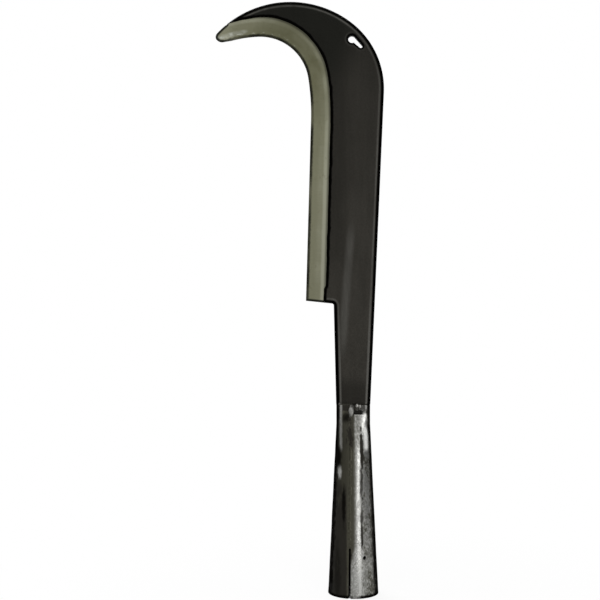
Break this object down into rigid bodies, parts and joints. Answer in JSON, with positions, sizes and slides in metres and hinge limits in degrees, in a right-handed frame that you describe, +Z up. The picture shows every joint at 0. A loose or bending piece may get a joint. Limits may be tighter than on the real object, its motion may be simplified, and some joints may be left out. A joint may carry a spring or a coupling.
{
  "type": "billhook head",
  "caption": "Head of a hooked billhook: dark forged blade with a ground edge sweeping round to a blunt beak, a straight spine, and a rolled steel socket that takes a pole.",
  "frame": {"origin": "centre of the socket's mouth", "axes": "+Z up the socket's axis to the blade, +X from the socket towards the spine, so the hook points to -X, +Y through the blade's flat"},
  "size_m": [0.1299, 0.0388, 0.4554],
  "materials": {
    "forged_iron": "black-brown forge scale, satin",
    "ground_steel": "ground and greyed",
    "socket_steel": "bare sheet with patches of mill scale",
    "weld_metal": "rough weld"
  },
  "bodies": {
    "root": {"blade_body": "forged_iron", "edge_steel": "ground_steel", "socket": "socket_steel", "front_weld": "weld_metal", "tack_weld": "weld_metal", "back_weld": "weld_metal", "seam_weld": "weld_metal"}
  },
  "joints": []
}
